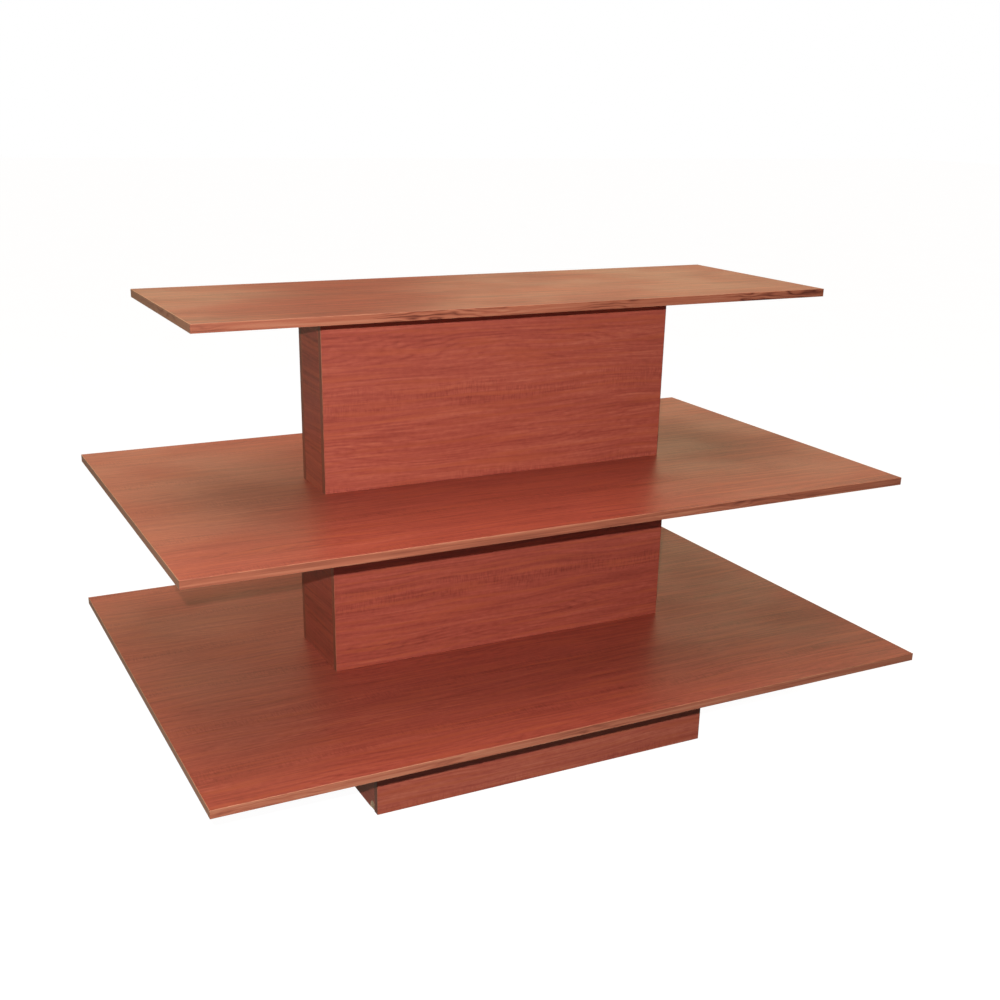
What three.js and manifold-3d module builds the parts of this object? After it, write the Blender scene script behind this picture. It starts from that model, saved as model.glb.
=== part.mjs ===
// Three-tier display table in laminated board, put together with hidden flat-pack fittings.
// Millimetres, +Z up, +X along the shelves, front towards -Y. The origin is on the floor, under the middle.
import * as THREE from 'three';
import { mergeVertices } from 'three/addons/utils/BufferGeometryUtils.js';
import Module from 'manifold-3d';

const wasm = await Module();
wasm.setup();

// Board stock
const BOARD = 16; // thickness of every shelf and panel
const EDGE_BAND = 1; // thickness of the band on a shelf's edges
const ARRIS = 0.6; // rounding of the corners that a hand can touch

// Shelves, finished sizes over the edge bands
const TOP_SHELF_LENGTH = 1340;
const TOP_SHELF_DEPTH = 455;
const MIDDLE_SHELF_LENGTH = 1524;
const MIDDLE_SHELF_DEPTH = 850;
const BOTTOM_SHELF_LENGTH = 1524;
const BOTTOM_SHELF_DEPTH = 1050;

// Boxes that carry the shelves, outside sizes
const UPPER_RISER_LENGTH = 774;
const UPPER_RISER_DEPTH = 128;
const UPPER_RISER_HEIGHT = 354;
const LOWER_RISER_LENGTH = 774;
const LOWER_RISER_DEPTH = 200;
const LOWER_RISER_HEIGHT = 348;
const PLINTH_LENGTH = 764;
const PLINTH_DEPTH = 602;
const PLINTH_HEIGHT = 210;

// Cam locks and the bolts that they pull down
const CAM_INSET = 95; // from a box's end to the cam's axis
const CAM_SETBACK = 24; // from the panel's upper edge to the cam's axis
const CAM_BORE_R = 7.5;
const CAM_BORE_FLOOR = 3.4; // board left behind the bore
const CAM_RIM_CHAMFER = 0.7;
const CAM_CROSS_LENGTH = 9;
const CAM_CROSS_WIDTH = 1.8;
const CAM_CROSS_FLOOR = 1.6; // metal between the cross recess and the jaw
const BOLT_BOARD_LEFT = 5; // board left above the bolt's thread
const BOLT_THREAD_R = 2.8;
const BOLT_COLLAR_R = 3.7;
const BOLT_COLLAR_LENGTH = 2.5;
const BOLT_SHANK_R = 3;
const BOLT_NECK_R = 2.2;
const BOLT_NECK_LENGTH = 6;
const BOLT_HEAD_R = 3.4;
const BOLT_HEAD_LENGTH = 4;
const BOLT_CHAMFER = 1;

// Countersunk connector screws, driven up through a shelf into the edges of the panels on it
const SCREW_INSET = 165; // from a box's end to the screw's axis
const SCREW_HEAD_R = 5;
const SCREW_HEAD_CONE = 3.5; // height of the countersunk head
const SCREW_HEAD_SINK = 0.4; // how far the head lies below the board's face
const SCREW_SHANK_R = 3.5;
const SCREW_THREAD_R = 3.1;
const SCREW_BITE = 34; // thread in the panel's edge
const SCREW_TIP = 4;
const SCREW_SOCKET_SIDES = 6;
const SCREW_SOCKET_ACROSS = 4; // across the socket's flats
const SCREW_SOCKET_DEPTH = 2.6;

// Dowels, glued into the end panels' edges
const DOWEL_R = 4;
const DOWEL_BOARD_LEFT = 4; // board left between a dowel's end and the outer face
const DOWEL_END_INSET = 40; // from the panel's upper and lower edges
const DOWELS_PER_CORNER = 3;

// Fits
const FIT_GAP = 0.15; // round a fitting in its hole
const LOOSE_GAP = 0.3; // round a bolt in its way and in the cam's jaw
const HOLE_OVERRUN = 0.5; // how much deeper a blind hole is than what goes into it
const CUT_PAST = 1; // how far a cutting shape runs past the face that it opens

// Facets round a turned piece, a cam's jaw and an arris
const FITTING_SIDES = 10;
const JAW_STEPS = 8;
const ARRIS_STEPS = 3;

// How far the bolts reach into a shelf, and the dowels and cams into a long panel
const boltBite = BOARD - BOLT_BOARD_LEFT;
const dowelReach = BOARD - DOWEL_BOARD_LEFT;
const camBoreDepth = BOARD - CAM_BORE_FLOOR;

// Heights of the shelves' undersides and the boxes' lower edges
const bottomShelfZ = PLINTH_HEIGHT;
const lowerRiserZ = bottomShelfZ + BOARD;
const middleShelfZ = lowerRiserZ + LOWER_RISER_HEIGHT;
const upperRiserZ = middleShelfZ + BOARD;
const topShelfZ = upperRiserZ + UPPER_RISER_HEIGHT;

const makeMaterial = (color, roughness, metalness) => {
  return new THREE.MeshStandardMaterial({ color, roughness, metalness });
};
const laminate = () => makeMaterial(0xa04a38, 0.42, 0);
const bandLaminate = () => makeMaterial(0xb0694c, 0.45, 0);
const zincAlloy = () => makeMaterial(0xb4b4b0, 0.4, 1);
const platedSteel = () => makeMaterial(0xc8c4b4, 0.3, 1);

// A closed solid from a geometry, with its doubled vertices merged
function toSolid(geometry) {
  const bare = geometry.clone();
  bare.deleteAttribute('normal');
  bare.deleteAttribute('uv');
  const merged = mergeVertices(bare);
  return new wasm.Manifold(new wasm.Mesh({
    numProp: 3,
    vertProperties: new Float32Array(merged.attributes.position.array),
    triVerts: new Uint32Array(merged.index.array),
  }));
}

function toGeometry(solid) {
  const { vertProperties, triVerts } = solid.getMesh();
  const geometry = new THREE.BufferGeometry();
  geometry.setAttribute('position', new THREE.BufferAttribute(vertProperties, 3));
  geometry.setIndex(new THREE.BufferAttribute(triVerts, 1));
  return geometry;
}

// A body with shapes cut out of it
function cut(body, tools) {
  return toGeometry(tools.reduce((rest, tool) => rest.subtract(toSolid(tool)), toSolid(body)));
}

// A body with shapes grown onto it
function join(body, extras) {
  return toGeometry(extras.reduce((whole, extra) => whole.add(toSolid(extra)), toSolid(body)));
}

function addMesh(parent, name, geometry, material, position = [0, 0, 0]) {
  const mesh = new THREE.Mesh(geometry, material);
  mesh.name = name;
  mesh.position.set(...position);
  parent.add(mesh);
  return mesh;
}

function extrude(shape, depth, curveSegments = ARRIS_STEPS) {
  return new THREE.ExtrudeGeometry(shape, { depth, curveSegments, bevelEnabled: false });
}

// A piece turned round +Z, from a profile of [radius, height] points with both ends on the axis
function turn(profile) {
  const points = profile.map(([radius, height]) => new THREE.Vector2(radius, height));
  return new THREE.LatheGeometry(points, FITTING_SIDES).rotateX(Math.PI / 2);
}

function rod(radius, fromZ, toZ) {
  return turn([[0, fromZ], [radius, fromZ], [radius, toZ], [0, toZ]]);
}

// A rectangle centred on X with its lower side at y = 0 and that side's two corners rounded
function easedRectangle(width, height, radius) {
  const shape = new THREE.Shape();
  shape.moveTo(-width / 2, height);
  shape.lineTo(-width / 2, radius);
  shape.absarc(-width / 2 + radius, radius, radius, Math.PI, 1.5 * Math.PI);
  shape.lineTo(width / 2 - radius, 0);
  shape.absarc(width / 2 - radius, radius, radius, 1.5 * Math.PI, 2 * Math.PI);
  shape.lineTo(width / 2, height);
  shape.closePath();
  return shape;
}

// Bolt from the shelf's underside at z = 0: thread up into the shelf, head down in the cam
function boltGeometry() {
  const neckBase = -CAM_SETBACK + BOLT_HEAD_LENGTH / 2;
  const headBase = -CAM_SETBACK - BOLT_HEAD_LENGTH / 2;
  return turn([
    [0, headBase],
    [BOLT_HEAD_R - BOLT_CHAMFER, headBase],
    [BOLT_HEAD_R, headBase + BOLT_CHAMFER],
    [BOLT_HEAD_R, neckBase - BOLT_CHAMFER],
    [BOLT_NECK_R, neckBase],
    [BOLT_NECK_R, neckBase + BOLT_NECK_LENGTH],
    [BOLT_SHANK_R, neckBase + BOLT_NECK_LENGTH + BOLT_CHAMFER],
    [BOLT_SHANK_R, -BOLT_COLLAR_LENGTH],
    [BOLT_COLLAR_R, -BOLT_COLLAR_LENGTH],
    [BOLT_COLLAR_R, 0],
    [BOLT_THREAD_R, 0],
    [BOLT_THREAD_R, boltBite - BOLT_CHAMFER],
    [BOLT_THREAD_R - BOLT_CHAMFER, boltBite],
    [0, boltBite],
  ]);
}

// Cam with its face at y = 0 and its body towards -Y. The jaw opens upwards round the bolt's neck.
function camGeometry() {
  const radius = CAM_BORE_R - FIT_GAP;
  const length = camBoreDepth - FIT_GAP;
  const body = turn([
    [0, 0],
    [radius, 0],
    [radius, length - CAM_RIM_CHAMFER],
    [radius - CAM_RIM_CHAMFER, length],
    [0, length],
  ]).translate(0, 0, -length).rotateX(-Math.PI / 2);

  const pocket = BOLT_HEAD_R + LOOSE_GAP;
  const slot = BOLT_NECK_R + LOOSE_GAP;
  const jawStart = BOARD / 2 - pocket;
  const slotAngle = Math.acos(slot / pocket);
  const jaw = new THREE.Shape();
  jaw.absarc(0, 0, pocket, slotAngle, Math.PI - slotAngle, true);
  jaw.lineTo(-slot, CAM_BORE_R + CUT_PAST);
  jaw.lineTo(slot, CAM_BORE_R + CUT_PAST);
  jaw.closePath();
  const jawCut = extrude(jaw, length, JAW_STEPS).rotateX(Math.PI / 2).translate(0, -jawStart, 0);

  const arm = CAM_CROSS_LENGTH / 2;
  const half = CAM_CROSS_WIDTH / 2;
  const cross = new THREE.Shape([
    [half, half], [half, arm], [-half, arm], [-half, half], [-arm, half], [-arm, -half],
    [-half, -half], [-half, -arm], [half, -arm], [half, -half], [arm, -half], [arm, half],
  ].map(([x, y]) => new THREE.Vector2(x, y)));
  const crossDepth = jawStart - CAM_CROSS_FLOOR;
  const crossCut = extrude(cross, crossDepth + CUT_PAST).rotateX(Math.PI / 2).translate(0, CUT_PAST, 0);
  return cut(body, [jawCut, crossCut]);
}

// Outline of a screw that points up from a shelf's underside, from its head's rim to its tip, eased outwards
// for the hole that takes it
function screwOutline(ease, overrun) {
  const tip = BOARD + SCREW_BITE + overrun;
  return [
    [SCREW_HEAD_R + ease, SCREW_HEAD_SINK],
    [SCREW_SHANK_R + ease, SCREW_HEAD_SINK + SCREW_HEAD_CONE],
    [SCREW_SHANK_R + ease, BOARD],
    [SCREW_THREAD_R + ease, BOARD],
    [SCREW_THREAD_R + ease, tip - SCREW_TIP],
    [SCREW_THREAD_R / 2 + ease, tip],
    [0, tip],
  ];
}

function screwGeometry() {
  const body = turn([[0, SCREW_HEAD_SINK], ...screwOutline(0, 0)]);
  const cornerRadius = SCREW_SOCKET_ACROSS / 2 / Math.cos(Math.PI / SCREW_SOCKET_SIDES);
  const length = SCREW_SOCKET_DEPTH + CUT_PAST;
  const socket = new THREE.CylinderGeometry(cornerRadius, cornerRadius, length, SCREW_SOCKET_SIDES)
    .rotateX(Math.PI / 2)
    .translate(0, 0, SCREW_HEAD_SINK + SCREW_SOCKET_DEPTH - length / 2);
  return cut(body, [socket]);
}

function screwHole() {
  const mouth = [[0, -CUT_PAST], [SCREW_HEAD_R + FIT_GAP, -CUT_PAST]];
  return turn([...mouth, ...screwOutline(FIT_GAP, HOLE_OVERRUN)]);
}

const boltHole = () => rod(BOLT_THREAD_R + FIT_GAP, -CUT_PAST, boltBite + HOLE_OVERRUN);

// Places of a box's fittings, on the middle planes of its long panels
function fittingPlaces(box, inset) {
  const x = box.length / 2 - inset;
  const y = (box.depth - BOARD) / 2;
  return [
    { name: 'front_left', x: -x, y: -y },
    { name: 'front_right', x, y: -y },
    { name: 'back_left', x: -x, y },
    { name: 'back_right', x, y },
  ];
}

// Heights of the dowels at one corner of a box
function dowelHeights(box) {
  const step = (box.height - 2 * DOWEL_END_INSET) / (DOWELS_PER_CORNER - 1);
  return Array.from({ length: DOWELS_PER_CORNER }, (_, i) => DOWEL_END_INSET + i * step);
}

// Long panel with its outer face towards -Y, bored for the dowels, cams, bolts and screws
function longPanelGeometry(box) {
  const panel = extrude(easedRectangle(box.length, BOARD, ARRIS), box.height).translate(0, -BOARD / 2, 0);
  const inner = BOARD / 2;
  const camX = box.length / 2 - CAM_INSET;
  const screwX = box.length / 2 - SCREW_INSET;
  const dowelX = (box.length - BOARD) / 2;
  const bores = [];
  for (const side of [-1, 1]) {
    for (const z of dowelHeights(box)) {
      const dowelHole = rod(DOWEL_R + FIT_GAP, -CUT_PAST, dowelReach + HOLE_OVERRUN).rotateX(Math.PI / 2);
      bores.push(dowelHole.translate(side * dowelX, inner, z));
    }
    const camBore = rod(CAM_BORE_R, -CUT_PAST, camBoreDepth).rotateX(Math.PI / 2);
    bores.push(camBore.translate(side * camX, inner, box.height - CAM_SETBACK));
    const boltWay = rod(BOLT_COLLAR_R + LOOSE_GAP, box.height - CAM_SETBACK, box.height + CUT_PAST);
    bores.push(boltWay.translate(side * camX, 0, 0));
    if (box.screwed) bores.push(screwHole().translate(side * screwX, 0, -BOARD));
  }
  return cut(panel, bores);
}

// End panel between the long panels, with the dowels glued into its edges
function endPanelGeometry(box) {
  const width = box.depth - 2 * BOARD;
  const panel = new THREE.BoxGeometry(BOARD, width, box.height).translate(0, 0, box.height / 2);
  const dowels = dowelHeights(box).map((z) => {
    const half = width / 2 + dowelReach;
    return rod(DOWEL_R, -half, half).rotateX(Math.PI / 2).translate(0, 0, z);
  });
  return join(panel, dowels);
}

// Box of two long panels over two end panels, with the cams that hold the shelf on it
function addBox(parent, box) {
  const group = new THREE.Group();
  group.position.z = box.z;
  parent.add(group);
  const longY = (box.depth - BOARD) / 2;
  const endX = (box.length - BOARD) / 2;
  const longPanel = longPanelGeometry(box);
  const endPanel = endPanelGeometry(box);
  addMesh(group, `${box.name}_front_panel`, longPanel, laminate(), [0, -longY, 0]);
  addMesh(group, `${box.name}_back_panel`, longPanel, laminate(), [0, longY, 0]).rotation.z = Math.PI;
  addMesh(group, `${box.name}_left_end`, endPanel, laminate(), [-endX, 0, 0]);
  addMesh(group, `${box.name}_right_end`, endPanel, laminate(), [endX, 0, 0]);

  for (const { name, x, y } of fittingPlaces(box, CAM_INSET)) {
    const inward = -Math.sign(y);
    const faceY = y + inward * BOARD / 2;
    const cam = addMesh(group, `${box.name}_cam_${name}`, camGeometry(), zincAlloy(),
      [x, faceY, box.height - CAM_SETBACK]);
    cam.rotation.z = inward > 0 ? 0 : Math.PI;
    addMesh(group, `${box.name}_cam_bolt_${name}`, boltGeometry(), platedSteel(), [x, y, box.height]);
  }
}

// Shelf board inside its edge bands, bored below for the box under it and through for the box on it
function addShelf(parent, shelf) {
  const coreLength = shelf.length - 2 * EDGE_BAND;
  const coreDepth = shelf.depth - 2 * EDGE_BAND;
  const board = new THREE.BoxGeometry(coreLength, coreDepth, BOARD).translate(0, 0, BOARD / 2);
  const below = fittingPlaces(shelf.standsOn, CAM_INSET).map(({ x, y }) => boltHole().translate(x, y, 0));
  const above = shelf.carries ? fittingPlaces(shelf.carries, SCREW_INSET) : [];
  const through = above.map(({ x, y }) => screwHole().translate(x, y, 0));
  addMesh(parent, `${shelf.name}_shelf`, cut(board, [...below, ...through]), laminate(), [0, 0, shelf.z]);
  for (const { name, x, y } of above) {
    addMesh(parent, `${shelf.carries.name}_screw_${name}`, screwGeometry(), platedSteel(), [x, y, shelf.z]);
  }

  const band = (length) => extrude(easedRectangle(BOARD, EDGE_BAND, ARRIS), length)
    .translate(0, 0, -length / 2)
    .rotateY(Math.PI / 2)
    .translate(0, 0, BOARD / 2);
  const bands = [
    { edge: 'front', length: shelf.length, at: [0, -shelf.depth / 2], quarters: 0 },
    { edge: 'right', length: coreDepth, at: [shelf.length / 2, 0], quarters: 1 },
    { edge: 'back', length: shelf.length, at: [0, shelf.depth / 2], quarters: 2 },
    { edge: 'left', length: coreDepth, at: [-shelf.length / 2, 0], quarters: 3 },
  ];
  for (const { edge, length, at, quarters } of bands) {
    const strip = addMesh(parent, `${shelf.name}_shelf_band_${edge}`, band(length), bandLaminate(),
      [...at, shelf.z]);
    strip.rotation.z = quarters * Math.PI / 2;
  }
}

const plinth = {
  name: 'plinth', z: 0, screwed: false,
  length: PLINTH_LENGTH, depth: PLINTH_DEPTH, height: PLINTH_HEIGHT,
};
const lowerRiser = {
  name: 'lower_riser', z: lowerRiserZ, screwed: true,
  length: LOWER_RISER_LENGTH, depth: LOWER_RISER_DEPTH, height: LOWER_RISER_HEIGHT,
};
const upperRiser = {
  name: 'upper_riser', z: upperRiserZ, screwed: true,
  length: UPPER_RISER_LENGTH, depth: UPPER_RISER_DEPTH, height: UPPER_RISER_HEIGHT,
};
const shelves = [
  {
    name: 'bottom', z: bottomShelfZ, standsOn: plinth, carries: lowerRiser,
    length: BOTTOM_SHELF_LENGTH, depth: BOTTOM_SHELF_DEPTH,
  },
  {
    name: 'middle', z: middleShelfZ, standsOn: lowerRiser, carries: upperRiser,
    length: MIDDLE_SHELF_LENGTH, depth: MIDDLE_SHELF_DEPTH,
  },
  {
    name: 'top', z: topShelfZ, standsOn: upperRiser, carries: null,
    length: TOP_SHELF_LENGTH, depth: TOP_SHELF_DEPTH,
  },
];

const table = new THREE.Group();
for (const box of [plinth, lowerRiser, upperRiser]) addBox(table, box);
for (const shelf of shelves) addShelf(table, shelf);

export default table;
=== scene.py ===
"""Three-tier display table in cherry-print laminated board, dressed and lit for a studio picture."""
import math
from contextlib import contextmanager
from functools import partial

import bmesh
import bpy
from bpy.props import FloatProperty, FloatVectorProperty, PointerProperty
from mathutils import Matrix, Vector


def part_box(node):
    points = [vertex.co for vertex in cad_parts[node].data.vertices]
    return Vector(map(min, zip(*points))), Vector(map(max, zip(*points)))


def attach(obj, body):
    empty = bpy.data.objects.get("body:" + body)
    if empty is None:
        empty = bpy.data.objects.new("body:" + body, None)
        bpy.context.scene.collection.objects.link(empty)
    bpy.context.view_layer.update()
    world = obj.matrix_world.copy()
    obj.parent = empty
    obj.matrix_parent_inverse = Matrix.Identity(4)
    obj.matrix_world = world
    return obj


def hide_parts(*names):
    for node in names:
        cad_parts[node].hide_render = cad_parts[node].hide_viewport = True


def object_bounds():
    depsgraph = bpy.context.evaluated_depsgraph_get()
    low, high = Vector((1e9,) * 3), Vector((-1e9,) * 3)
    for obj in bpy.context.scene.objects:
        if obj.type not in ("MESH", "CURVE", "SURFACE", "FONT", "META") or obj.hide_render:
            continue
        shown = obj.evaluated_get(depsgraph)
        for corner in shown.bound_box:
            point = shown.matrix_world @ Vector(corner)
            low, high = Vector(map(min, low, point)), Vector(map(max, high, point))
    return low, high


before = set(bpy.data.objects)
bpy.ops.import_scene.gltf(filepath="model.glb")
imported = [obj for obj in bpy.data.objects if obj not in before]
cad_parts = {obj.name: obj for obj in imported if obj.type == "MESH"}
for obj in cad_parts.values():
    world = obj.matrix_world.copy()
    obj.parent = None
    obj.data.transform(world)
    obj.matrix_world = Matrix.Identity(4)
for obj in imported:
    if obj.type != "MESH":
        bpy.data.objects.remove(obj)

CAD_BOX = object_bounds()

bl_info = {
    "name": "Display Table",
    "version": (1, 0, 0),
    "blender": (4, 5, 0),
    "location": "View3D > Sidebar > Display Table",
    "description": "Models and finishes the boards, bands and fittings of a three-tier display table",
    "category": "Object",
}

# The box that each shelf stands on, and the box that each of the lower shelves carries
STANDS_ON = {"top": "upper_riser", "middle": "lower_riser", "bottom": "plinth"}
CARRIES = {"middle": "upper_riser", "bottom": "lower_riser"}
ENDS = ("left", "right")
# Turn round Z of a fitting that faces into a box from its front or back panel
FACING = {"front": 0, "back": math.pi}
CORNERS = tuple((side, end) for side in FACING for end in ENDS)

X_AXIS, Y_AXIS, Z_AXIS = Matrix.Identity(3)
# Cosine past which two directions count as the same
ALIGNED = 0.9
MM = 0.001
SMOOTH = {"interpolation_type": 'SMOOTHSTEP'}


def linear(code):
    """Linear red, green and blue of an sRGB hex colour."""
    parts = [int(code[place:place + 2], 16) / 255 for place in (0, 2, 4)]
    return tuple(part / 12.92 if part <= 0.04045 else ((part + 0.055) / 1.055) ** 2.4 for part in parts)


def hex_colour(name, description, code):
    return FloatVectorProperty(
        name=name, description=description, subtype='COLOR', size=3, min=0, max=1, default=linear(code))


def millimetres(name, description, size):
    return FloatProperty(
        name=name, description=description, unit='LENGTH', subtype='DISTANCE', precision=5, min=0,
        default=size * MM)


def degrees(name, description, angle):
    return FloatProperty(name=name, description=description, subtype='ANGLE', default=math.radians(angle))


def watts(name, description, power):
    return FloatProperty(name=name, description=description, unit='POWER', default=power)


class BoardSettings(bpy.types.PropertyGroup):
    """Sizes of the boards' edges."""
    arris: millimetres("Arris", "Rounding of an edge that a hand can touch", 0.7)
    glue_line: millimetres("Glue Line", "Width of the eased edge where a board meets its band", 0.2)
    strip: millimetres("Edge Strip", "Thickness of the band on a long panel's upright edges", 1)
    chip_width: millimetres("Chip Width", "Width of the broken place at the plinth's foot", 26)
    chip_height: millimetres("Chip Height", "Height of the broken place at the plinth's foot", 20)
    chip_depth: millimetres("Chip Depth", "Depth of the broken place at the plinth's foot", 1.4)


class FittingSettings(bpy.types.PropertyGroup):
    """Sizes of the fittings and of the holes that take them."""
    cam: millimetres("Cam", "Diameter of the bore for a cam", 15)
    cam_depth: millimetres("Cam Depth", "Depth of the bore for a cam", 12.6)
    cam_setback: millimetres("Cam Setback", "From a panel's upper edge to the cam's axis", 24)
    cam_chamfer: millimetres("Cam Chamfer", "Bevel round the cam's face", 0.7)
    cam_jaw: millimetres("Cam Jaw", "From the cam's face to its jaw", 4.3)
    cross_length: millimetres("Cross Length", "Length of the driver recess in the cam", 9)
    cross_width: millimetres("Cross Width", "Width of the driver recess in the cam", 1.8)
    cross_depth: millimetres("Cross Depth", "Depth of the driver recess in the cam", 2.7)
    arrow: millimetres("Arrow", "Size of the arrow that points to the cam's jaw", 1.2)
    bolt_head: millimetres("Bolt Head", "Diameter of the head that the cam grips", 6.8)
    bolt_head_length: millimetres("Bolt Head Length", "Length of the head that the cam grips", 4)
    bolt_neck: millimetres("Bolt Neck", "Diameter of the neck behind the head", 4.4)
    bolt_neck_length: millimetres("Bolt Neck Length", "Length of the neck behind the head", 6)
    bolt_shank: millimetres("Bolt Shank", "Diameter of the plain shank", 6)
    bolt_collar: millimetres("Bolt Collar", "Diameter of the collar under the shelf", 7.4)
    bolt_collar_length: millimetres("Bolt Collar Length", "Length of the collar under the shelf", 2.5)
    bolt_thread: millimetres("Bolt Thread", "Diameter over the bolt's thread", 5.6)
    bolt_core: millimetres("Bolt Core", "Diameter inside the bolt's thread", 3.9)
    bolt_pitch: millimetres("Bolt Pitch", "Pitch of the bolt's thread", 1.8)
    bolt_bite: millimetres("Bolt Bite", "How far the bolt goes into the shelf", 11)
    chamfer: millimetres("Chamfer", "Bevel on the bolt's shoulders", 1)
    screw_head: millimetres("Screw Head", "Diameter of the countersunk head", 10)
    screw_cone: millimetres("Screw Cone", "Height of the countersunk head", 3.5)
    screw_sink: millimetres("Screw Sink", "How far the head lies below the board's face", 0.4)
    screw_shank: millimetres("Screw Shank", "Diameter of the plain shank", 7)
    screw_thread: millimetres("Screw Thread", "Diameter over the screw's thread", 6.2)
    screw_core: millimetres("Screw Core", "Diameter inside the screw's thread", 4.3)
    screw_pitch: millimetres("Screw Pitch", "Pitch of the screw's thread", 3)
    screw_bite: millimetres("Screw Bite", "How far the thread goes into a panel's edge", 34)
    screw_tip: millimetres("Screw Tip", "Length of the screw's taper", 4)
    socket: millimetres("Socket", "Across the flats of the screw's socket", 4)
    socket_depth: millimetres("Socket Depth", "Depth of the screw's socket", 2.6)
    dowel: millimetres("Dowel", "Diameter of the corner dowels", 8)
    dowel_reach: millimetres("Dowel Reach", "How far a dowel goes into a long panel", 12)
    dowel_grip: millimetres("Dowel Grip", "How far a dowel goes into an end panel", 24)
    dowel_inset: millimetres("Dowel Inset", "From a panel's upper or lower edge to its first dowel", 40)
    fit_gap: millimetres("Fit Gap", "Clearance round a fitting in its hole", 0.15)
    loose_gap: millimetres("Loose Gap", "Clearance round a bolt in its way", 0.3)
    overrun: millimetres("Overrun", "How much deeper a blind hole is than what goes into it", 0.5)


class FinishSettings(bpy.types.PropertyGroup):
    """Colours of the finishes."""
    laminate_dark: hex_colour("Laminate Dark", "Late wood and ripple lines of the cherry print", "80382b")
    laminate_low: hex_colour("Laminate Low", "Darker streaks of the cherry print", "a1493a")
    laminate_mid: hex_colour("Laminate Mid", "Ground colour of the cherry print", "b25544")
    laminate_high: hex_colour("Laminate High", "Lighter streaks of the cherry print", "c2664f")
    laminate_pale: hex_colour("Laminate Pale", "Palest streaks of the cherry print", "d07c60")
    laminate_warm: hex_colour("Laminate Warm", "Orange threads of the cherry print", "bb5d3e")
    band_dark: hex_colour("Band Dark", "Dark lines of the edge band", "6a3226")
    band_mid: hex_colour("Band Mid", "Ground colour of the edge band", "b0664c")
    band_pale: hex_colour("Band Pale", "Pale lines of the edge band", "cf9272")
    chip_dark: hex_colour("Particle Dark", "Dark chips of the raw board", "ad8a66")
    chip_pale: hex_colour("Particle Pale", "Pale chips of the raw board", "e8ceaa")
    zinc: hex_colour("Zinc", "Die-cast zinc of the cams", "a9aaa8")
    steel: hex_colour("Steel", "Plated steel of the bolts and screws", "c9c5ba")
    beech_dark: hex_colour("Beech Dark", "Rays of the beech dowels", "b98d5e")
    beech_pale: hex_colour("Beech Pale", "Ground colour of the beech dowels", "dcb98a")
    paper: hex_colour("Paper", "Pale paper floor", "fdfdfd")
    paper_mirrored: hex_colour("Paper Mirrored", "The paper floor as the boards mirror it", "ffedd3")


class StageSettings(bpy.types.PropertyGroup):
    """Camera and light."""
    camera_place: FloatVectorProperty(
        name="Camera Place", description="Where the lens is", subtype='TRANSLATION', unit='LENGTH',
        default=(-1.183, -2.333, 1.305))
    camera_yaw: degrees("Camera Yaw", "Turn of the view from +Y towards +X", 27.52)
    camera_pitch: degrees("Camera Pitch", "Tilt of the view below the horizon", 20.41)
    camera_roll: degrees("Camera Roll", "Turn of the camera round its own axis", 1.18)
    lens: FloatProperty(name="Lens", description="Focal length", subtype='DISTANCE_CAMERA', default=45.756)
    shift_x: FloatProperty(name="Shift X", description="Sideways shift of the lens", default=0.001)
    shift_y: FloatProperty(name="Shift Y", description="Upward shift of the lens", default=0.08)
    floor_size: millimetres("Floor Size", "Side of the paper floor", 60000)
    lamp_offset: FloatVectorProperty(
        name="Lamp Offset", description="From the lens to the key lamp", subtype='TRANSLATION', unit='LENGTH',
        default=(-0.039, 0, 0.1))
    lamp_size: millimetres("Lamp Size", "Diameter of the key lamp", 22)
    lamp_power: watts("Lamp Power", "Power of the key lamp", 54)
    fill_height: millimetres("Fill Height", "Height of the overhead box", 3500)
    fill_size: millimetres("Fill Size", "Diameter of the overhead box", 3400)
    fill_power: watts("Fill Power", "Power of the overhead box", 72)
    fill: hex_colour("Fill", "Colour of the overhead box", "ffe3d3")
    wall_strength: FloatProperty(
        name="Wall Strength", description="Brightness of the warm screens", default=1.3)
    wall_low: hex_colour("Wall Low", "Foot of the warm screens that the shelves mirror", "fcf6c2")
    wall_high: hex_colour("Wall High", "Upper part of the warm screens", "ebbb93")
    wall_gap: degrees("Wall Gap", "Dim gap between the screens, left of the view", 7)
    dusk: hex_colour("Dusk", "Dim room round the screens", "28241f")
    backdrop: FloatProperty(
        name="Backdrop", description="Brightness of the white behind the table", default=1.0)


def add_node(tree, kind, inputs=(), operation=None, out=0, stops=(), **settings):
    """Adds a shader node with its settings, inputs (set or linked) and ramp stops, and gives one output."""
    made = tree.nodes.new("ShaderNode" + kind)
    if operation:
        made.operation = operation
    for name, value in settings.items():
        setattr(made, name, value)
    for name, value in inputs.items() if isinstance(inputs, dict) else enumerate(inputs):
        if isinstance(value, bpy.types.NodeSocket):
            tree.links.new(value, made.inputs[name])
        else:
            made.inputs[name].default_value = value
    for number, (place, colour) in enumerate(stops):
        bar = made.color_ramp.elements
        stop = bar[number] if number < len(bar) else bar.new(place)
        stop.position = place
        stop.color = (*colour, 1)
    return made.outputs[out] if made.outputs else made


def finish(make):
    """The material that a function describes, made the first time that it is asked for."""
    name = make.__name__
    if name not in bpy.data.materials:
        made = bpy.data.materials.new(name)
        made.use_nodes = True
        made.node_tree.nodes.clear()
        add = partial(add_node, made.node_tree)
        surface = add("BsdfPrincipled", make(add, bpy.context.scene.table_finish))
        add("OutputMaterial", [surface])
    return bpy.data.materials[name]


def grain(add, place, length, width, detail=2.0, roughness=0.5):
    """Noise drawn out along the grain: its marks are about length by width millimetres."""
    marks = add("Mapping", {"Vector": place, "Scale": (1 / length / MM, 1 / width / MM, 1)})
    return add("TexNoise", {"Vector": marks, "Scale": 1.0, "Detail": detail, "Roughness": roughness})


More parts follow.
